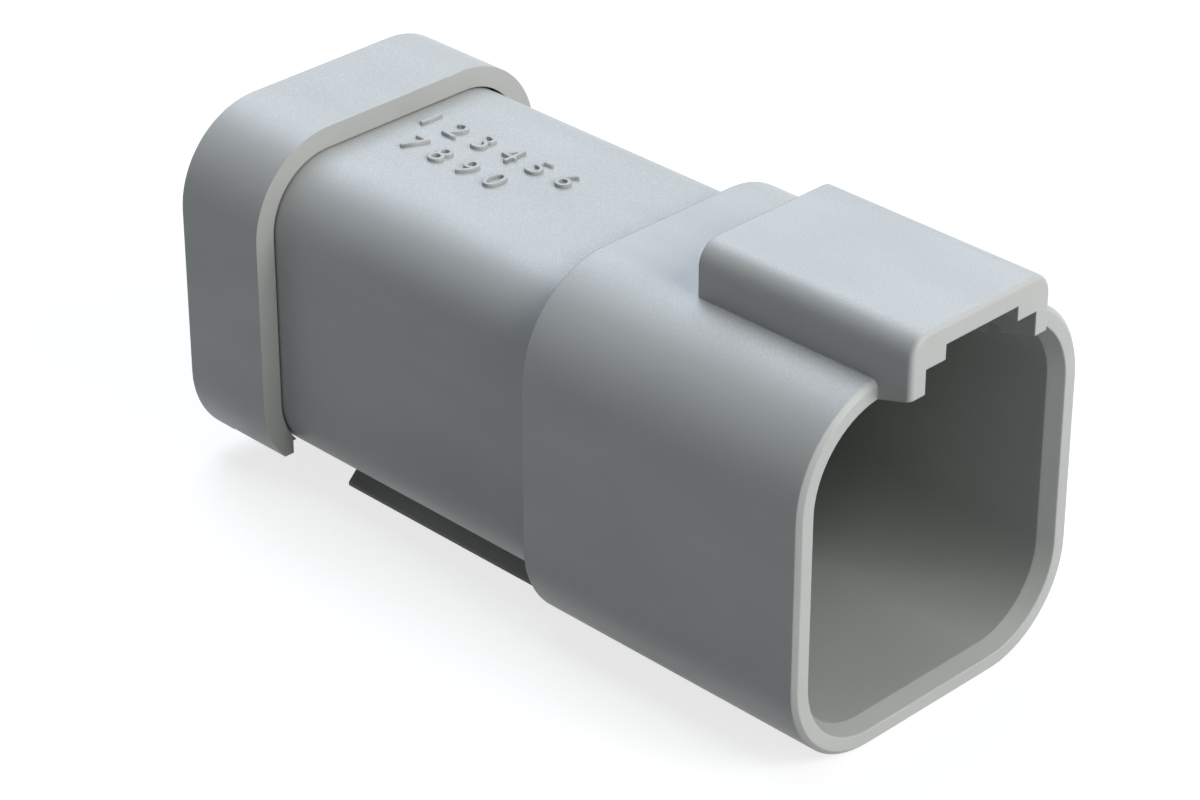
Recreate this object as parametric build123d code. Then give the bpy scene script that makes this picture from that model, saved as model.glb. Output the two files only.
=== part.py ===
from build123d import *
import os

# Sealed automotive connector: the six-way receptacle, with its pins, lock plate, wire seal and
# rear cap. Millimetres. X runs across, +Y from the open mouth back to the wires, +Z up.
# Every piece is drawn about the middle of the mouth, with depths counted back from its rim, and
# is moved at the end so that the origin lies under the middle of the part, level with its base.

# Driving dimensions: the shroud round the mating plug
shroud_width = 21.2
shroud_height = 21.6
shroud_corner = 5.9
shroud_length = 19.2
shroud_wall = 1.44
rim_wall = 1.0
rim_chamfer = 0.25
lead_in_depth = 0.88
socket_floor = 1.2

# Driving dimensions: the latch hood on top of the shroud
hood_width = 10.4
hood_reach = 2.07
hood_back = 12.0
hood_rise = 3.0
hood_round = 1.3
hood_edge_round = 0.3
hood_wall = 1.06
hood_roof = 1.16
hood_foot_slope = 0.3
catch_drop = 0.84
catch_gap = 5.4
catch_length = 2.6

# Driving dimensions: the body behind the shroud
body_corner = 4.05
chamber_wall = 1.2
chamber_length = 7.65
core_length = 14.8
pocket_wall = 1.3
pocket_depth = 4.6

# Driving dimensions: the dovetail rail for a mounting clip
rail_width = 12.8
rail_lip = 0.22
rail_length = 18.7
channel_width = 5.2
channel_depth = 0.9
tooth_length = 2.4
tooth_height = 0.6
tooth_back = 5.0

# Driving dimensions: the rear cap
cap_side_inset = 0.1
cap_top_inset = 0.25
cap_wall = 1.25
cap_corner = 5.45
cap_depth = 6.25
cap_floor = 1.2
cap_clearance = 0.1
cap_foot_gap = 1.85
cap_notch_width = 17.0
cap_notch_step = 0.8
bead_length = 8.0
bead_width = 1.2
bead_height = 0.3
bead_back = 2.4

# Driving dimensions: the six contacts and how they are spaced
rows = 3
row_pitch = 5.21
column_pitch = 10.0
pin_diameter = 1.575
pin_reach = 6.4
pin_nose = 0.9
pin_tip_diameter = 0.8
shank_diameter = 2.4
collar_diameter = 3.0
collar_length = 1.3
barrel_diameter = 2.54
barrel_length = 11.25
barrel_bore = 1.7
barrel_bore_depth = 6.2

# Driving dimensions: the cavities, the locking fingers and the lock plate
cavity_clearance = 0.1
cavity_front_wall = 1.6
finger_width = 2.6
finger_cut = 0.5
finger_length = 7.6
finger_free_end = 0.6
finger_hook = 0.23
hook_length = 1.5
lock_thickness = 1.5
lock_clearance = 0.15
shank_clearance = 0.2
tongue_thickness = 3.9
tongue_edge = 1.85
tongue_length = 7.4
tongue_nose = 0.6
slot_end_gap = 3.0
pull_slot_width = 1.6
pull_slot_height = 4.4
pull_slot_depth = 4.5

# Driving dimensions: the wire seal
seat_gap = 0.1
grommet_ribs = 2
grommet_rib_height = 0.55
grommet_rib_length = 1.1
wire_hole = 2.2
wire_entry = 4.2

# The cap is set in a little from the shroud, and the body fits inside the cap
cap_width = shroud_width - 2 * cap_side_inset
cap_height = shroud_height - 2 * cap_top_inset
body_width = cap_width - 2 * (cap_wall + cap_clearance)
body_height = cap_height - 2 * (cap_wall + cap_clearance)

# Depths behind the rim, and levels above the middle of the mouth
socket_depth = shroud_length - socket_floor
core_front = socket_depth + pocket_depth
core_back = core_front + core_length
body_end = core_back + chamber_length
cap_back = body_end + seat_gap + cap_floor
cap_front = cap_back - cap_depth
hood_top = shroud_height / 2 + hood_rise
lock_front = core_front - seat_gap - lock_thickness
shoulder_depth = core_front + cavity_front_wall

# Where the mouth's middle lies in the part's own frame
mouth_place = Pos(0, (hood_reach - cap_back) / 2, shroud_height / 2)


def prism(outline, start, end):
    """Carry an outline, drawn with X across and Z up, from one depth to another."""
    return extrude(Plane.XZ.offset(-start) * outline, amount=start - end)


def rounded(width, height, corner):
    """A rectangle with rounded corners about the middle of the mouth."""
    return RectangleRounded(width, height, corner)


def band(x_low, x_high, z_low, z_high):
    """A rectangle between two sides and two levels."""
    middle = Pos((x_low + x_high) / 2, (z_low + z_high) / 2)
    return middle * Rectangle(x_high - x_low, z_high - z_low)


def cavity_places():
    """The contacts' places across the connector, down one column and then the other."""
    places = []
    for side in (-1, 1):
        for row in range(rows):
            places.append((side * column_pitch / 2, ((rows - 1) / 2 - row) * row_pitch))
    return places


def shroud_inset(wall):
    """The outline that is left inside the shroud by a wall of this thickness."""
    return rounded(shroud_width - 2 * wall, shroud_height - 2 * wall, shroud_corner - wall)


def socket_space():
    """The space that the plug enters: a straight bore, its flared mouth and the room between the hood's feet."""
    bore = shroud_inset(shroud_wall)
    mouth = shroud_inset(rim_wall)
    reach = hood_reach + rim_wall
    widened = shroud_inset(rim_wall - reach * hood_foot_slope)
    lead_in = loft([Plane.XZ.offset(-lead_in_depth) * bore, Plane.XZ * mouth], ruled=True)
    room = loft([Plane.XZ * mouth, Plane.XZ.offset(reach) * widened], ruled=True)
    return prism(bore, lead_in_depth, socket_depth) + lead_in + room


def shroud_shell():
    """The outside of the shroud, with its edge broken at the rim."""
    block = prism(rounded(shroud_width, shroud_height, shroud_corner), 0, shroud_length)
    rim = block.faces().sort_by(Axis.Y)[0]
    return chamfer(rim.edges(), rim_chamfer)


def hood_block():
    """The outside of the latch hood, from the middle of the mouth up."""
    half = hood_width / 2
    block = prism(band(-half, half, 0, hood_top), -hood_reach, hood_back)
    shoulders = block.edges().filter_by(Axis.Y).group_by(Axis.Z)[-1]
    block = fillet(shoulders, hood_round)
    front = block.faces().sort_by(Axis.Y)[0]
    raised = front.edges().group_by(Axis.Z)[1:]
    return fillet([edge for group in raised for edge in group], hood_edge_round)


def latch_space():
    """The slot that the plug's latch slides into, with a catch ledge down each side of its mouth."""
    half = hood_width / 2 - hood_wall
    roof = hood_top - hood_roof
    ledge = roof - catch_drop
    catch_end = catch_length - hood_reach
    inner_end = hood_back - hood_wall
    mouth = prism(band(-half, half, 0, ledge), -hood_reach, inner_end)
    middle = prism(band(-catch_gap / 2, catch_gap / 2, 0, roof), -hood_reach, inner_end)
    behind = prism(band(-half, half, 0, roof), catch_end, inner_end)
    return mouth + middle + behind


def dovetail_rail():
    """The rail under the body: a thin lip, undercut at 45 degrees, with the clip's tooth in a channel."""
    base = -shroud_height / 2
    root = -body_height / 2
    lip = base + rail_lip
    half = rail_width / 2
    waist = half - (root - lip)
    outline = Polyline((-half, base), (half, base), (half, lip), (waist, root), (waist, root + chamber_wall),
                       (-waist, root + chamber_wall), (-waist, root), (-half, lip), close=True)
    end = shroud_length + rail_length
    rail = prism(make_face(outline), shroud_length, end)
    channel = prism(band(-channel_width / 2, channel_width / 2, base, base + channel_depth), shroud_length, end)
    return rail - channel + clip_tooth(end - tooth_back, base + channel_depth)


def clip_tooth(depth, level):
    """A ramped tooth in the rail's channel, which a clip springs past."""
    ramp = Polyline((depth - tooth_length, level), (depth, level - tooth_height), (depth, level), close=True)
    side = make_face(Plane.YZ * ramp)
    return Pos(-channel_width / 2, 0, 0) * extrude(side, amount=channel_width)


def snap_bead(side, spare):
    """The bead on one side of the body that the cap snaps over, or its groove, wider by the spare."""
    depth = body_end - bead_back
    reach = side * (body_width / 2 + bead_height + spare)
    inside = side * (body_width / 2 - chamber_wall / 2)
    half = bead_length / 2 + spare
    low, high = sorted((inside, reach))
    return prism(band(low, high, -half, half), depth - bead_width / 2 - spare, depth + bead_width / 2 + spare)


def body_block():
    """The outside of the body, from the socket's floor to the rear, with its beads and rail."""
    block = prism(rounded(body_width, body_height, body_corner), socket_depth, body_end)
    return block + snap_bead(-1, 0) + snap_bead(1, 0) + dovetail_rail()


def contact_cavity(x, z):
    """One stepped cavity: the shank's hole through the front wall, then the barrel's bore."""
    shank_hole = Circle(shank_diameter / 2 + shank_clearance)
    bore = Circle(collar_diameter / 2 + cavity_clearance)
    front = prism(Pos(x, z) * shank_hole, core_front, shoulder_depth)
    return front + prism(Pos(x, z) * bore, shoulder_depth, core_back)


def finger_gaps(x, z):
    """The cuts that free one locking finger above, below and at its front end."""
    side = 1 if x > 0 else -1
    inner = side * tongue_thickness / 2
    outer = x - side * (collar_diameter / 2 + cavity_clearance) / 2
    low, high = sorted((inner, outer))
    half = finger_width / 2
    gaps = prism(band(low, high, z - half - finger_cut, z + half + finger_cut),
                 shoulder_depth, shoulder_depth + finger_free_end)
    for edge in (z - half - finger_cut, z + half):
        gaps += prism(band(low, high, edge, edge + finger_cut), shoulder_depth, shoulder_depth + finger_length)
    return gaps


def finger_hook_block(x, z):
    """The hook on one finger, which drops in behind the contact's collar."""
    side = 1 if x > 0 else -1
    wall = x - side * (collar_diameter / 2 + cavity_clearance)
    low, high = sorted((wall - side * finger_hook, wall + side * finger_hook))
    start = shoulder_depth + collar_length + seat_gap
    half = finger_width / 4
    return prism(band(low, high, z - half, z + half), start, start + hook_length)


def lock_slot():
    """The slot between the two columns of fingers, which the lock plate's tongue fills."""
    half = tongue_thickness / 2 + lock_clearance
    height = (rows - 1) * row_pitch / 2 + tongue_edge + lock_clearance
    return prism(band(-half, half, -height, height), core_front, core_front + tongue_length + slot_end_gap)


def receptacle_housing():
    """The moulded housing: shroud, hood, body, rail, cavities and locking fingers in one piece."""
    housing = shroud_shell() + hood_block() + body_block()
    pocket = rounded(body_width - 2 * pocket_wall, body_height - 2 * pocket_wall, body_corner - pocket_wall)
    chamber = rounded(body_width - 2 * chamber_wall, body_height - 2 * chamber_wall, body_corner - chamber_wall)
    housing -= socket_space()
    housing -= latch_space()
    housing -= prism(pocket, socket_depth, core_front)
    housing -= prism(chamber, core_back, body_end)
    housing -= lock_slot()
    for x, z in cavity_places():
        housing -= contact_cavity(x, z)
        housing -= finger_gaps(x, z)
        housing += finger_hook_block(x, z)
    return housing


def rear_cap():
    """The cap that snaps over the body's end and holds the wire seal in, open along its underside."""
    inner_width = body_width + 2 * cap_clearance
    inner_height = body_height + 2 * cap_clearance
    cap = prism(rounded(cap_width, cap_height, cap_corner), cap_front, cap_back)
    cap -= prism(rounded(inner_width, inner_height, body_corner), cap_front, cap_back - cap_floor)
    foot = -(cap_height / 2 - cap_foot_gap)
    outer_half = cap_width / 2
    notch_half = cap_notch_width / 2
    cap -= prism(band(-outer_half, outer_half, -cap_height / 2, foot), cap_front, cap_back - cap_floor)
    cap -= prism(band(-notch_half, notch_half, foot, foot + cap_notch_step), cap_front, cap_back - cap_floor)
    cap -= prism(band(-outer_half, outer_half, -cap_height / 2, -body_height / 2), cap_back - cap_floor, cap_back)
    for x, z in cavity_places():
        cap -= prism(Pos(x, z) * Circle(wire_entry / 2), cap_back - cap_floor, cap_back)
    return cap - snap_bead(-1, seat_gap) - snap_bead(1, seat_gap)


def rear_grommet():
    """The soft wire seal: two ribs against the chamber's wall, and a hole for each wire."""
    start = core_back + seat_gap
    width = body_width - 2 * chamber_wall - 2 * seat_gap
    height = body_height - 2 * chamber_wall - 2 * seat_gap
    corner = body_corner - chamber_wall - seat_gap
    waist = rounded(width - 2 * grommet_rib_height, height - 2 * grommet_rib_height, corner - grommet_rib_height)
    grommet = prism(waist, start, body_end)
    step = (body_end - start - grommet_rib_length) / (grommet_ribs - 1)
    for rib in range(grommet_ribs):
        rib_start = start + rib * step
        grommet += prism(rounded(width, height, corner), rib_start, rib_start + grommet_rib_length)
    for x, z in cavity_places():
        grommet -= prism(Pos(x, z) * Circle(wire_hole / 2), start, body_end)
    return grommet


def lock_plate():
    """The secondary lock: a plate with a window for each pin, and a tongue that backs the fingers."""
    spare = pocket_wall + lock_clearance
    plate = rounded(body_width - 2 * spare, body_height - 2 * spare, body_corner - spare)
    half = tongue_thickness / 2
    height = (rows - 1) * row_pitch / 2 + tongue_edge
    tongue = prism(band(-half, half, -height, height), lock_front, core_front + tongue_length)
    tip = tongue.faces().sort_by(Axis.Y)[-1]
    lock = prism(plate, lock_front, lock_front + lock_thickness) + chamfer(tip.edges(), tongue_nose)
    window = shank_diameter + 2 * shank_clearance
    for x, z in cavity_places():
        lock -= prism(Pos(x, z) * Rectangle(window, window), lock_front, core_front)
    pull = band(-pull_slot_width / 2, pull_slot_width / 2, -pull_slot_height / 2, pull_slot_height / 2)
    return lock - prism(pull, lock_front, lock_front + pull_slot_depth)


def pin_contact():
    """One turned contact: a pin with a tapered nose, a shank, a collar and a hollow crimp barrel."""
    tip = lock_front - pin_reach
    collar_end = shoulder_depth + collar_length
    barrel_end = collar_end + barrel_length
    profile = [(0, tip), (pin_tip_diameter / 2, tip),
               (pin_diameter / 2, tip + pin_nose), (pin_diameter / 2, lock_front),
               (shank_diameter / 2, lock_front), (shank_diameter / 2, shoulder_depth),
               (collar_diameter / 2, shoulder_depth), (collar_diameter / 2, collar_end),
               (barrel_diameter / 2, collar_end), (barrel_diameter / 2, barrel_end), (0, barrel_end)]
    contact = revolve(make_face(Polyline(*profile, close=True)), Axis.Y)
    return contact - prism(Circle(barrel_bore / 2), barrel_end - barrel_bore_depth, barrel_end)


pieces = {
    "receptacle_housing": receptacle_housing(),
    "rear_cap": rear_cap(),
    "rear_grommet": rear_grommet(),
    "lock_plate": lock_plate(),
}
contact = pin_contact()
for number, (x, z) in enumerate(cavity_places(), start=1):
    pieces[f"pin_contact_{number}"] = Pos(x, 0, z) * contact

os.makedirs("parts", exist_ok=True)
for name, piece in pieces.items():
    export_step(mouth_place * piece, f"parts/{name}.step")
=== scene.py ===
# %% [markdown]
# A sealed six-way connector receptacle, dressed round its CAD model.
#
# The real object is a short grey moulding: a rounded square shroud with a latch hood, a body, and a
# cap snapped over the rear end. Inside are a green lock plate, six plated pins and a soft orange
# seal. The shapes come from the CAD, so this lesson is about finishes, light and the few marks that
# are too fine to be drawn in CAD. Every length below is in metres.

import math

import bmesh
import bpy
from mathutils import Matrix, Vector


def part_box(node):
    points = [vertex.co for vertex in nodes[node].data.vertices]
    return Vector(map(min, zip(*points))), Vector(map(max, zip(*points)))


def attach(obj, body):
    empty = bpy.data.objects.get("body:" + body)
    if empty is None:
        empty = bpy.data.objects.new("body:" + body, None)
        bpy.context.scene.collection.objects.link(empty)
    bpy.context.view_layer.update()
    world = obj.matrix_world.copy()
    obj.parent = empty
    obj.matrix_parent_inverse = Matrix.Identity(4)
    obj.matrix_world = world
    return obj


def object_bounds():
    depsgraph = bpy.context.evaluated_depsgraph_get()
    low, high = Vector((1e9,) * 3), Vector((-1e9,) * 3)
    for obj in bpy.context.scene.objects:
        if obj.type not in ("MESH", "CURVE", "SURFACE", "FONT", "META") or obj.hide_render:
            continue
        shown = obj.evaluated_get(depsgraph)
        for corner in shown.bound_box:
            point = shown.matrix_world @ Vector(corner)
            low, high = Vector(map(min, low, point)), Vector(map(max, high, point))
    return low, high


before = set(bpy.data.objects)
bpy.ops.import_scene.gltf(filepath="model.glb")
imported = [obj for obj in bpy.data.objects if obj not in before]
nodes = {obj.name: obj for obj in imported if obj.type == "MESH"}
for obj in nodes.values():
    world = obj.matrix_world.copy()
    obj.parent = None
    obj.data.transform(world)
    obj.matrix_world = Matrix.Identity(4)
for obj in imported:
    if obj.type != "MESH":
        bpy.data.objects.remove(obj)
cad_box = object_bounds()
scene = bpy.context.scene
scene.view_settings.view_transform = "Standard"
print("pieces:", sorted(nodes))
print("CAD box in mm:", [round(1000 * v, 2) for corner in cad_box for v in corner])

# %% [markdown]
# Most places in this scene are worked out from the pieces themselves, so that the scene still fits
# when the CAD is moved or changed a little. The cap's box gives the rear end, and the middle of the
# whole box is what the lamps are turned to. Three lengths in the housing can't be read from a box:
# how far the hood reaches past the rim, how long the shroud is, and how high the socket's middle
# lies. They are written down here once.

# %% Measure the pieces
MM = 0.001
HOOD_REACH = 2.07 * MM
SHROUD_LENGTH = 19.2 * MM
SOCKET_LEVEL = 10.8 * MM
housing_low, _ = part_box("receptacle_housing")
cap_low, cap_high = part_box("rear_cap")
rim_at = housing_low.y + HOOD_REACH
shroud_end = rim_at + SHROUD_LENGTH
middle = (cad_box[0] + cad_box[1]) / 2
print("rim at", round(rim_at / MM, 2), "mm, shroud's end at", round(shroud_end / MM, 2), "mm")
print("cap reaches from", round(cap_low.y / MM, 2), "to", round(cap_high.y / MM, 2), "mm")

# %% [markdown]
# A procedural finish is a small graph of nodes. Each finish below needs the same few steps, so they
# are written once: a node with its settings, a link, and a noise that is sized in real millimetres.
# Sizing a texture by the real grain is what keeps it believable when the camera comes closer.


# %% Small helpers for building node graphs
def new_finish(name):
    """An empty material with its surface shader, ready to be filled in."""
    finish = bpy.data.materials.new(name)
    finish.use_nodes = True
    shader = finish.node_tree.nodes["Principled BSDF"]
    return finish, shader


def add(finish, kind, **settings):
    """One node of that kind, with its own settings."""
    node = finish.node_tree.nodes.new(kind)
    for name, value in settings.items():
        setattr(node, name, value)
    return node


def join(finish, source, target):
    """A link from one socket to another."""
    finish.node_tree.links.new(source, target)


def noise(finish, grain, detail=3.0, stretch=(1.0, 1.0, 1.0)):
    """Noise whose lumps are about `grain` metres wide, in the piece's own space."""
    place = add(finish, "ShaderNodeTexCoord")
    scale = add(finish, "ShaderNodeMapping")
    scale.inputs["Scale"].default_value = stretch
    cloud = add(finish, "ShaderNodeTexNoise")
    cloud.inputs["Scale"].default_value = 1 / grain
    cloud.inputs["Detail"].default_value = detail
    join(finish, place.outputs["Object"], scale.inputs["Vector"])
    join(finish, scale.outputs["Vector"], cloud.inputs["Vector"])
    return cloud.outputs["Fac"]


def spread(finish, value, low, high, start=0.35, end=0.65):
    """The value stretched from the range start to end, as noise has it, to the range low to high."""
    stretch = add(finish, "ShaderNodeMapRange")
    stretch.inputs["From Min"].default_value = start
    stretch.inputs["From Max"].default_value = end
    stretch.inputs["To Min"].default_value = low
    stretch.inputs["To Max"].default_value = high
    join(finish, value, stretch.inputs["Value"])
    return stretch.outputs["Result"]


def combine(finish, first, second, operation="MULTIPLY"):
    """Two values made into one. Unless told otherwise, they are multiplied."""
    step = add(finish, "ShaderNodeMath", operation=operation)
    join(finish, first, step.inputs[0])
    join(finish, second, step.inputs[1])
    return step.outputs[0]


# %% [markdown]
# The Mix node carries separate sockets for plain values and for colours, all with the same names.
# They have to be picked by number, so the numbers get names here, and two small helpers hide them.

# %% Helpers that blend colours and values
MIX_COLOURS = (6, 7)
MIXED_COLOUR = 2
MIX_VALUES = (2, 3)
MIXED_VALUE = 0


def blend_colours(finish, share, first, second):
    """A colour between two others. Each is a socket, or a colour written as three numbers."""
    mix = add(finish, "ShaderNodeMix", data_type="RGBA")
    join(finish, share, mix.inputs["Factor"])
    for number, colour in zip(MIX_COLOURS, (first, second)):
        if isinstance(colour, tuple):
            mix.inputs[number].default_value = (*colour, 1.0)
        else:
            join(finish, colour, mix.inputs[number])
    return mix.outputs[MIXED_COLOUR]


def blend_values(finish, share, first, second):
    """A value between two others."""
    mix = add(finish, "ShaderNodeMix")
    join(finish, share, mix.inputs[0])
    for number, value in zip(MIX_VALUES, (first, second)):
        join(finish, value, mix.inputs[number])
    return mix.outputs[MIXED_VALUE]


# %% [markdown]
# Real edges are never quite sharp, and they wear first. A Bevel node gives the normal that a rounded
# edge would have. Where it leans away from the true one there is an edge, so the same node both
# rounds the look of an edge and tells where to rub it pale. The bump layers go on top of it.

# %% Helpers for edges, tops and bump
BEVEL_SAMPLES = 6
EDGE_LEAN = (0.75, 0.98)
UPWARD = (0.76, 0.96)


def edge_share(finish, radius):
    """One along the edges and zero on the faces: how far a rounded normal leans from the true one."""
    soft = add(finish, "ShaderNodeBevel", samples=BEVEL_SAMPLES)
    soft.inputs["Radius"].default_value = radius
    true = add(finish, "ShaderNodeNewGeometry")
    lean = add(finish, "ShaderNodeVectorMath", operation="DOT_PRODUCT")
    join(finish, soft.outputs["Normal"], lean.inputs[0])
    join(finish, true.outputs["Normal"], lean.inputs[1])
    return spread(finish, lean.outputs["Value"], 1.0, 0.0, start=EDGE_LEAN[0], end=EDGE_LEAN[1])


def facing_up(finish):
    """One where a surface looks up, and zero where it leans by more than about forty degrees."""
    true = add(finish, "ShaderNodeNewGeometry")
    axes = add(finish, "ShaderNodeSeparateXYZ")
    join(finish, true.outputs["Normal"], axes.inputs["Vector"])
    return spread(finish, axes.outputs["Z"], 0.0, 1.0, start=UPWARD[0], end=UPWARD[1])


def bump(finish, shader, layers, edge_radius):
    """Bump layers, each a height with its depth in metres, over slightly rounded edges."""
    rounded = add(finish, "ShaderNodeBevel", samples=BEVEL_SAMPLES)
    rounded.inputs["Radius"].default_value = edge_radius
    normal = rounded.outputs["Normal"]
    for height, depth in layers:
        step = add(finish, "ShaderNodeBump")
        step.inputs["Strength"].default_value = 1.0
        step.inputs["Distance"].default_value = depth
        join(finish, height, step.inputs["Height"])
        join(finish, normal, step.inputs["Normal"])
        normal = step.outputs["Normal"]
    join(finish, normal, shader.inputs["Normal"])


# %% [markdown]
# The outside of the housing is shaped by the spark-eroded walls of the mould, and the inside by its
# ground steel cores. Inside the socket, painted shade darkens the colour more the deeper a point
# lies, where less light reaches. The painted shade could be a second material on the inner faces,
# but the faces belong to one CAD mesh, so here the finish works out from a point's own place whether
# it lies inside, and how deep. The flared mouth has a painted shade of its own.
#
# A rounded square is all that lies within one radius of a smaller, sharp square. So the test is the
# distance from that sharp square, and the radius ends in the middle of the wall. Towards the
# shroud's end the socket narrows at a ledge, and the radius with it.

# %% Telling the inside from the outside, and the painted shade inside
SHARP_SQUARE = (4.7 * MM, 0.0, 4.9 * MM)
SHROUD_RADIUS = 5.2 * MM
BODY_RADIUS = 3.8 * MM
LEDGE_BEFORE_END = 1.1 * MM
LEDGE_LENGTH = 0.5 * MM
RIM_BLEND = (0.02 * MM, 0.08 * MM)
FLARE_DEPTH = 0.88 * MM
FLARE_BLEND = 0.04 * MM
# Painted shade: a fixed share on the flared mouth, and behind it a share that grows with depth.
PAINTED_FLARE_SHADE = 0.33
PAINTED_SHADE_AT_RIM = 0.25
PAINTED_SHADE_FULL_DEPTH = 16 * MM
ledge = shroud_end - LEDGE_BEFORE_END
print("the socket narrows", round((ledge - rim_at) / MM, 1), "mm behind the rim")


def vector_step(finish, operation, vector, other=(0.0, 0.0, 0.0)):
    """One sum on a vector, with a fixed one beside it."""
    step = add(finish, "ShaderNodeVectorMath", operation=operation)
    join(finish, vector, step.inputs[0])
    step.inputs[1].default_value = other
    return step.outputs["Value" if operation == "LENGTH" else "Vector"]


def from_sharp_square(finish, place):
    """How far a point lies outside the sharp square round the socket's middle line."""
    from_line = vector_step(finish, "SUBTRACT", place, (0.0, 0.0, SOCKET_LEVEL))
    one_quarter = vector_step(finish, "ABSOLUTE", from_line)
    past_square = vector_step(finish, "SUBTRACT", one_quarter, SHARP_SQUARE)
    past_square = vector_step(finish, "MAXIMUM", past_square)
    flat = vector_step(finish, "MULTIPLY", past_square, (1.0, 0.0, 1.0))
    return vector_step(finish, "LENGTH", flat)


def inside_and_painted_shade(finish):
    """Two shares: any place inside, and the painted shade there, full at PAINTED_SHADE_FULL_DEPTH
    deep.
    """
    place = add(finish, "ShaderNodeTexCoord").outputs["Object"]
    axes = add(finish, "ShaderNodeSeparateXYZ")
    join(finish, place, axes.inputs["Vector"])
    depth = axes.outputs["Y"]
    radius = spread(finish, depth, SHROUD_RADIUS, BODY_RADIUS, start=ledge, end=ledge + LEDGE_LENGTH)
    within = combine(finish, from_sharp_square(finish, place), radius, "LESS_THAN")
    past_rim = spread(finish, depth, 0.0, 1.0, start=rim_at + RIM_BLEND[0], end=rim_at + RIM_BLEND[1])
    flare_end = rim_at + FLARE_DEPTH
    behind_flare = spread(finish, depth, 0.0, 1.0, start=flare_end - FLARE_BLEND, end=flare_end)
    # Painted shade on the flared mouth, and behind it painted shade that grows with depth.
    painted_flare_shade = spread(finish, past_rim, 0.0, PAINTED_FLARE_SHADE, start=0.0, end=1.0)
    painted_shade_ramp = spread(finish, depth, PAINTED_SHADE_AT_RIM, 1.0, start=rim_at, end=rim_at + PAINTED_SHADE_FULL_DEPTH)
    shade = blend_values(finish, behind_flare, painted_flare_shade, combine(finish, painted_shade_ramp, painted_shade_ramp))
    return combine(finish, within, past_rim), combine(finish, within, shade)


# %% [markdown]
# The housing and the cap are glass-filled nylon, moulded in a steel tool whose walls were spark
# eroded. That leaves a fine even grain, a colour that drifts a little where the melt flowed, and
# edges that are a touch paler and smoother, because hands and the mating plug rub them first. What
# looks up also holds a trace of pale dust in the grain, so the tops sparkle and the sides don't.
# A photograph could be wrapped round the part instead, but noise in real millimetres follows every
# corner without a seam.

# %% The moulded grey plastic
GRAIN, GRAIN_DEPTH = 0.075 * MM, 0.005 * MM
CLOUD, CLOUD_DEPTH = 6 * MM, 0.010 * MM
FLOW_MARK = 2.5 * MM
DRAWN_OUT_BACKWARD = (1.0, 0.25, 1.0)
RUBBED_WIDTH = 0.14 * MM
RUBBED_PATCH = 0.9 * MM
RUBBED_SMOOTHER = -0.18
DULL_SPREAD = 0.04
DUST = (0.62, 0.63, 0.63)
DUST_MOST = 0.55
NYLON_IOR = 1.5


def dust_share(finish, grain, open_to_dust):
    """Dust where the surface is open to it and the grain stands high."""
    speckle = spread(finish, grain, 0.0, DUST_MOST, start=0.45, end=0.70)
    return combine(finish, open_to_dust, speckle)


def dullness(finish, flow, edges, roughness):
    """The roughness: it drifts with the flow of the melt and drops along the rubbed edges."""
    dull = spread(finish, flow, roughness - DULL_SPREAD, roughness + DULL_SPREAD, start=0.0, end=0.4)
    smoother = add(finish, "ShaderNodeMath", operation="MULTIPLY_ADD")
    smoother.inputs[1].default_value = RUBBED_SMOOTHER
    join(finish, edges, smoother.inputs[0])
    join(finish, dull, smoother.inputs[2])
    return smoother.outputs[0]


def moulded_plastic(name, pale, deep, worn, roughness, edge_radius, painted_shade_grey=None):
    """Grey nylon with a spark-eroded grain, faint flow clouds, rubbed edges and a little dust."""
    finish, shader = new_finish(name)
    clouds = spread(finish, noise(finish, CLOUD, detail=4.0), 0.0, 0.6)
    flow = spread(finish, noise(finish, FLOW_MARK, stretch=DRAWN_OUT_BACKWARD), 0.0, 0.4)
    grain = noise(finish, GRAIN, detail=2.0)
    colour = blend_colours(finish, clouds, pale, deep)
    colour = blend_colours(finish, flow, colour, deep)
    open_to_dust = facing_up(finish)
    # With a painted shade grey, the socket's inside gets painted shade and no dust.
    if painted_shade_grey:
        inside, painted_shade = inside_and_painted_shade(finish)
        colour = blend_colours(finish, painted_shade, colour, painted_shade_grey)
        open_to_dust = combine(finish, open_to_dust, inside, "SUBTRACT")
    edges = edge_share(finish, RUBBED_WIDTH)
    rubbed = combine(finish, edges, spread(finish, noise(finish, RUBBED_PATCH), 0.1, 0.7))
    colour = blend_colours(finish, rubbed, colour, worn)
    colour = blend_colours(finish, dust_share(finish, grain, open_to_dust), colour, DUST)
    join(finish, colour, shader.inputs["Base Color"])
    join(finish, dullness(finish, flow, edges, roughness), shader.inputs["Roughness"])
    shader.inputs["IOR"].default_value = NYLON_IOR
    bump(finish, shader, [(grain, GRAIN_DEPTH), (clouds, CLOUD_DEPTH)], edge_radius)
    return finish


# The last grey is the painted shade inside the socket.
housing_finish = moulded_plastic(
    "moulded_grey",
    pale=(0.431, 0.443, 0.436), deep=(0.397, 0.409, 0.403), worn=(0.475, 0.485, 0.480),
    roughness=0.46, edge_radius=0.12 * MM, painted_shade_grey=(0.200, 0.203, 0.198))
print("made", housing_finish.name)

# %% [markdown]
# The cap comes from another tool, so its grey is a shade warmer and its grain a shade smoother. It
# could share the housing's finish, but then the two mouldings would look like one.

# %% The cap's plastic
cap_finish = moulded_plastic(
    "moulded_grey_cap",
    pale=(0.426, 0.434, 0.422), deep=(0.392, 0.400, 0.389), worn=(0.49, 0.50, 0.49),
    roughness=0.44, edge_radius=0.03 * MM)
print("made", cap_finish.name)

# %% [markdown]
# The lock plate is a second, unfilled plastic in a bright colour, so that whoever fits the connector
# can see at a glance that it is in place. Unfilled plastic is glossier and lets a little light in. A
# plain green would look like paint, so light goes a little way into it, and the melt's flow shows.

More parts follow.
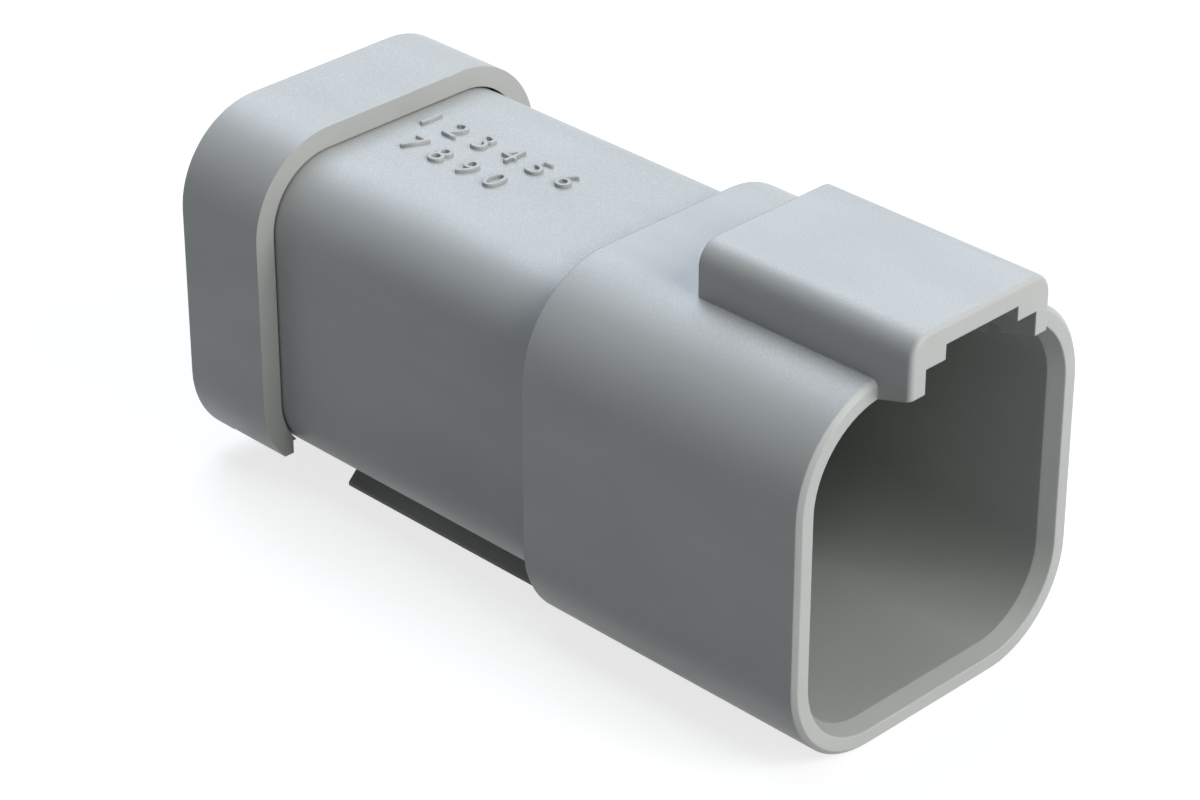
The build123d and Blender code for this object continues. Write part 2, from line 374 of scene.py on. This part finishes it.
# %% The lock plate's plastic
LOCK_GREEN = (0.030, 0.235, 0.085)
LOCK_DEEP_GREEN = (0.022, 0.180, 0.070)
LOCK_PALE_GREEN = (0.085, 0.36, 0.16)
LOCK_FLOW_MARK = 1.8 * MM
LOCK_GRAIN = 0.25 * MM
LOCK_IOR = 1.48


def lock_plastic(name):
    """Smooth green plastic with faint flow marks and a little light inside it."""
    finish, shader = new_finish(name)
    flow = spread(finish, noise(finish, LOCK_FLOW_MARK, stretch=(1.0, 1.0, 0.4)), 0.0, 1.0)
    colour = blend_colours(finish, flow, LOCK_GREEN, LOCK_DEEP_GREEN)
    edges = edge_share(finish, 0.15 * MM)
    colour = blend_colours(finish, edges, colour, LOCK_PALE_GREEN)
    join(finish, colour, shader.inputs["Base Color"])
    join(finish, spread(finish, flow, 0.26, 0.38, start=0.0, end=1.0), shader.inputs["Roughness"])
    shader.inputs["IOR"].default_value = LOCK_IOR
    shader.inputs["Subsurface Weight"].default_value = 0.12
    shader.inputs["Subsurface Scale"].default_value = 0.4 * MM
    grain = noise(finish, LOCK_GRAIN)
    bump(finish, shader, [(grain, 0.004 * MM), (flow, 0.006 * MM)], edge_radius=0.06 * MM)
    return finish


lock_finish = lock_plastic("lock_green")
print("made", lock_finish.name)

# %% [markdown]
# The seal is silicone rubber. Its skin is matte with a faint bloom of the oil that lets the wires
# slide in. That bloom gathers in small cloudy patches, and the lips that are rubbed are paler. The
# patches could be painted on, but that needs an unwrapped mesh, and clouds of noise don't.

# %% The seal's rubber
SEAL_ORANGE = (0.50, 0.155, 0.045)
SEAL_BLOOM = (0.58, 0.215, 0.085)
SEAL_PALE_ORANGE = (0.63, 0.27, 0.12)
SEAL_PATCH = 1.2 * MM
SEAL_GRAIN = 0.12 * MM
SILICONE_IOR = 1.41


def seal_rubber(name):
    """Matte orange silicone with cloudy patches of bloom."""
    finish, shader = new_finish(name)
    bloom = spread(finish, noise(finish, SEAL_PATCH, detail=5.0), 0.0, 1.0)
    colour = blend_colours(finish, bloom, SEAL_ORANGE, SEAL_BLOOM)
    edges = edge_share(finish, 0.12 * MM)
    colour = blend_colours(finish, edges, colour, SEAL_PALE_ORANGE)
    join(finish, colour, shader.inputs["Base Color"])
    join(finish, spread(finish, bloom, 0.55, 0.75, start=0.0, end=1.0), shader.inputs["Roughness"])
    shader.inputs["IOR"].default_value = SILICONE_IOR
    shader.inputs["Subsurface Weight"].default_value = 0.2
    shader.inputs["Subsurface Scale"].default_value = 0.6 * MM
    grain = noise(finish, SEAL_GRAIN)
    bump(finish, shader, [(grain, 0.005 * MM), (bloom, 0.010 * MM)], edge_radius=0.1 * MM)
    return finish


seal_finish = seal_rubber("seal_silicone")
print("made", seal_finish.name)

# %% [markdown]
# The contacts are turned from copper alloy bar and nickel plated. A lathe leaves fine rings round
# the pin, so the bump is a wave that runs along the pin, broken up by noise so that it doesn't look
# printed. The plating itself is slightly yellow beside steel, and brighter on the worn edges.

# %% The contacts' plating
NICKEL = (0.66, 0.63, 0.57)
NICKEL_STAINED = (0.56, 0.53, 0.48)
NICKEL_BRIGHT = (0.76, 0.73, 0.67)
STAIN = 1.5 * MM
RING_PITCH = 0.9 * MM
RING_DEPTH = 0.002 * MM


def lathe_rings(finish):
    """The rings that a lathe leaves, as a wave along the pin with a little unevenness."""
    place = add(finish, "ShaderNodeTexCoord")
    rings = add(finish, "ShaderNodeTexWave", wave_type="BANDS", bands_direction="Y")
    rings.inputs["Scale"].default_value = 1 / RING_PITCH
    rings.inputs["Distortion"].default_value = 1.5
    rings.inputs["Detail"].default_value = 2.0
    join(finish, place.outputs["Object"], rings.inputs["Vector"])
    return rings.outputs["Fac"]


def turned_plating(name):
    """Nickel plate over turned metal: fine rings, soft stains and bright edges."""
    finish, shader = new_finish(name)
    stain = spread(finish, noise(finish, STAIN, detail=4.0), 0.0, 1.0)
    colour = blend_colours(finish, stain, NICKEL, NICKEL_STAINED)
    edges = edge_share(finish, 0.08 * MM)
    colour = blend_colours(finish, edges, colour, NICKEL_BRIGHT)
    join(finish, colour, shader.inputs["Base Color"])
    shader.inputs["Metallic"].default_value = 1.0
    join(finish, spread(finish, stain, 0.20, 0.34, start=0.0, end=1.0), shader.inputs["Roughness"])
    layers = [(lathe_rings(finish), RING_DEPTH), (stain, RING_DEPTH)]
    bump(finish, shader, layers, edge_radius=0.05 * MM)
    return finish


contact_finish = turned_plating("contact_nickel")
print("made", contact_finish.name)

# %% [markdown]
# A CAD node keeps its shape, and only the material in its slot is changed. The finish is chosen by
# the piece's name, and the six contacts share theirs.


# %% Give each piece its finish
def finish_for(name):
    """The finish of the piece with that name."""
    if name.startswith("pin_contact"):
        return contact_finish
    return {"receptacle_housing": housing_finish, "rear_cap": cap_finish,
            "lock_plate": lock_finish, "rear_grommet": seal_finish}[name]


for name, node in nodes.items():
    for slot in node.material_slots:
        slot.material = finish_for(name)
print("finished", len(nodes), "pieces")

# %% [markdown]
# The top of the body carries two rows of raised marks: the ten plain digits, six in the first row
# and four in the second. A digit is drawn as a font outline, given a thickness, and turned into a
# mesh with a narrow bevel, because moulded characters always have a soft shoulder. They could be
# bump only, but a mark that stands 0.2 mm proud throws a shadow of its own.

# %% Where the raised digits go
MARK_ROWS = ("123456", "7890")
MARK_FEET = (0.5 * MM, -2.2 * MM)
MARK_FROM_CAP = (1.4 * MM, 2.9 * MM)
MARK_PITCH = 2.15 * MM
MARK_HEIGHT = 1.6 * MM
MARK_RISE = 0.21 * MM
MARK_SINK = 0.10 * MM
MARK_SHOULDER = 0.02 * MM
MARK_SLIM = -0.025 * MM
DIGIT_TO_FONT = 0.7
PROBE_FROM_CAP = 4 * MM
above_body = Vector((0, cap_low.y - PROBE_FROM_CAP, 1))
landing = nodes["receptacle_housing"].ray_cast(above_body, Vector((0, 0, -1)))[1]
body_top = landing.z
print("the body's top is at", round(body_top / MM, 2), "mm")

# %% [markdown]
# Blender gives a font outline with a thickness doubled points along its edges. They are welded, so
# that each digit is one closed skin, and the count of open edges shows that none is left.


# %% The raised digits
def close_seams(mesh):
    """Weld the doubled points along the outline's edges, so that the mesh is one closed skin."""
    skin = bmesh.new()
    skin.from_mesh(mesh)
    bmesh.ops.remove_doubles(skin, verts=skin.verts, dist=0.001 * MM)
    open_edges = sum(not edge.is_manifold for edge in skin.edges)
    skin.to_mesh(mesh)
    skin.free()
    print("open edges left:", open_edges)


def digit_mesh(digit):
    """The thick, bevelled shape of one digit, lying flat round the origin."""
    outline = bpy.data.curves.new(f"mark_{digit}", "FONT")
    outline.body = digit
    outline.size = MARK_HEIGHT / DIGIT_TO_FONT
    outline.extrude = (MARK_RISE + MARK_SINK) / 2
    outline.bevel_depth = MARK_SHOULDER
    outline.bevel_resolution = 2
    outline.offset = MARK_SLIM
    outline.align_x = "CENTER"
    drawn = bpy.data.objects.new(f"mark_{digit}", outline)
    scene.collection.objects.link(drawn)
    bpy.context.view_layer.update()
    mesh = bpy.data.meshes.new_from_object(drawn)
    bpy.data.objects.remove(drawn)
    close_seams(mesh)
    return mesh


def raised_digit(digit, x, y):
    """One raised digit on top of the body, read from the body's left side."""
    mesh = digit_mesh(digit)
    turn = Matrix.Rotation(-math.pi / 2, 4, "Z")
    level = body_top + (MARK_RISE - MARK_SINK) / 2 - MARK_SHOULDER
    mesh.transform(Matrix.Translation((x, y, level)) @ turn)
    piece = bpy.data.objects.new(f"raised_digit_{digit}", mesh)
    mesh.materials.append(housing_finish)
    scene.collection.objects.link(piece)
    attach(piece, "receptacle")
    return piece


for digits, feet, from_cap in zip(MARK_ROWS, MARK_FEET, MARK_FROM_CAP):
    for place, digit in enumerate(digits):
        mark = raised_digit(digit, feet, cap_low.y - from_cap - place * MARK_PITCH)
        print(mark.name, "has", len(mark.data.polygons), "faces")

# %% [markdown]
# The floor is plain and pale. The camera sees it as white with a soft shadow, while the light that
# it throws back on the part is held down, as it would be on a raised glass table. A Light Path
# node tells the two apart: what the camera, a mirror or glass sees gets a glow added to it. The glow
# is a little stronger far from the part, where the lamps no longer reach, so that a low view shows
# no grey band between the floor and the white beyond it.

# %% The floor
FLOOR_SIZE = 4.0
FLOOR_GREY = (0.33, 0.345, 0.345, 1.0)
FLOOR_ROUGHNESS = 0.9
GLOW_NEAR = 0.765
GLOW_FAR = 1.0
LAMPS_REACH = (0.3, 1.3)
half = FLOOR_SIZE / 2
corners = [(-half, -half, 0), (half, -half, 0), (half, half, 0), (-half, half, 0)]
floor_mesh = bpy.data.meshes.new("floor")
floor_mesh.from_pydata(corners, [], [(0, 1, 2, 3)])
floor = bpy.data.objects.new("floor", floor_mesh)
scene.collection.objects.link(floor)


def seen_directly(finish):
    """One for rays that the camera, a gloss or clear glass sends, and zero for the rest."""
    path = add(finish, "ShaderNodeLightPath")
    first = combine(finish, path.outputs["Is Camera Ray"], path.outputs["Is Glossy Ray"], "MAXIMUM")
    return combine(finish, first, path.outputs["Is Transmission Ray"], "MAXIMUM")


def floor_finish():
    """Pale and bright to the camera, but a weak mirror of light to the part."""
    finish, shader = new_finish("studio_floor")
    shader.inputs["Base Color"].default_value = FLOOR_GREY
    shader.inputs["Roughness"].default_value = FLOOR_ROUGHNESS
    shader.inputs["Specular IOR Level"].default_value = 0.0
    place = add(finish, "ShaderNodeTexCoord").outputs["Object"]
    distance = vector_step(finish, "LENGTH", place)
    level = spread(finish, distance, GLOW_NEAR, GLOW_FAR, start=LAMPS_REACH[0], end=LAMPS_REACH[1])
    glow = add(finish, "ShaderNodeEmission")
    join(finish, combine(finish, seen_directly(finish), level), glow.inputs["Strength"])
    both = add(finish, "ShaderNodeAddShader")
    join(finish, shader.outputs["BSDF"], both.inputs[0])
    join(finish, glow.outputs["Emission"], both.inputs[1])
    join(finish, both.outputs["Shader"], finish.node_tree.nodes["Material Output"].inputs["Surface"])
    return finish


floor_mesh.materials.append(floor_finish())
print("floor is", FLOOR_SIZE, "m wide")

# %% [markdown]
# Beyond the floor is the world. It is white where it is seen, and a weaker, slightly cool
# fill where it lights the part, so that the side away from the lamps keeps its depth. A sky picture
# would tint the part, so it is one plain colour.

# %% The world
FILL = 0.042
FILL_WHITE = (0.96, 0.98, 1.0, 1.0)
world = bpy.data.worlds.new("studio")
world.use_nodes = True
scene.world = world
backdrop = world.node_tree.nodes["Background"]
backdrop.inputs["Color"].default_value = FILL_WHITE
level = spread(world, seen_directly(world), FILL, 1.0, start=0.0, end=1.0)
join(world, level, backdrop.inputs["Strength"])
print("fill light is", FILL, "of white")

# %% [markdown]
# Soft square lamps light a product like this one. A wide, cool one high up behind and a weaker one
# straight above make the tops bright. Three in front, slightly warm, light the rim and look into the
# socket: one high, one level with the mouth and one from the right. A lamp low behind would sharpen
# the far edges, but seen from the front it would also mirror white in the shroud's corner, so there
# is none. A lamp's power is worked out from the light that should reach the part: a white sheet
# facing a lamp at distance d looks fully white at about pi squared times d squared watts.


# %% The lamps
def soft_lamp(name, place, size, brightness, colour):
    """A square lamp that faces the part and lights a white sheet there to that brightness."""
    lamp = bpy.data.lights.new(name, "AREA")
    lamp.size = size
    offset = Vector(place)
    lamp.energy = brightness * math.pi ** 2 * offset.length_squared
    lamp.color = colour
    holder = bpy.data.objects.new(name, lamp)
    holder.location = middle + offset
    holder.rotation_mode = "QUATERNION"
    holder.rotation_quaternion = (-offset).to_track_quat("-Z", "Y")
    scene.collection.objects.link(holder)
    print(name, "at", round(offset.length, 2), "m,", round(lamp.energy, 2), "W")


COOL = (0.77, 0.86, 1.0)
COOLER_WHITE = (0.85, 0.94, 1.0)
WARM_WHITE = (1.0, 0.985, 0.955)
soft_lamp("overhead_behind", (0.22, 0.30, 0.46), 0.45, 0.74, COOL)
soft_lamp("overhead", (0.00, 0.05, 0.60), 0.40, 0.25, COOLER_WHITE)
soft_lamp("high_before", (0.05, -0.45, 0.38), 0.30, 0.585, WARM_WHITE)
soft_lamp("before_the_mouth", (0.00, -0.55, 0.05), 0.25, 0.41, WARM_WHITE)
soft_lamp("before_right", (0.25, -0.50, 0.20), 0.30, 0.235, WARM_WHITE)

# %% [markdown]
# The camera stands in front, to the left and above, a long way off for the part's size, so the
# view is nearly without perspective. Its place could be found by eye, but here it was worked out
# from the part's straight edges. A small shift puts the part where it belongs in the picture.

# %% The camera
CAMERA_PLACE = Vector((-0.13032, -0.12834, 0.11477))
CAMERA_AHEAD = Vector((0.61331, 0.61398, -0.49686))
CAMERA_RIGHT = Vector((0.7075, -0.7067, 0.0))
FOCAL_LENGTH = 117.17
CAMERA_SHIFT = (0.00105, -0.0089)
NEAREST, FARTHEST = 0.01, 10.0
camera = bpy.data.cameras.new("camera")
camera.lens = FOCAL_LENGTH
camera.shift_x, camera.shift_y = CAMERA_SHIFT
camera.clip_start, camera.clip_end = NEAREST, FARTHEST
holder = bpy.data.objects.new("camera", camera)
back = -CAMERA_AHEAD.normalized()
up = back.cross(CAMERA_RIGHT).normalized()
right = up.cross(back)
turn = Matrix((right, up, back)).transposed().to_4x4()
holder.matrix_world = Matrix.Translation(CAMERA_PLACE) @ turn
scene.collection.objects.link(holder)
scene.camera = holder
print("camera is", round((CAMERA_PLACE - middle).length, 3), "m from the part")
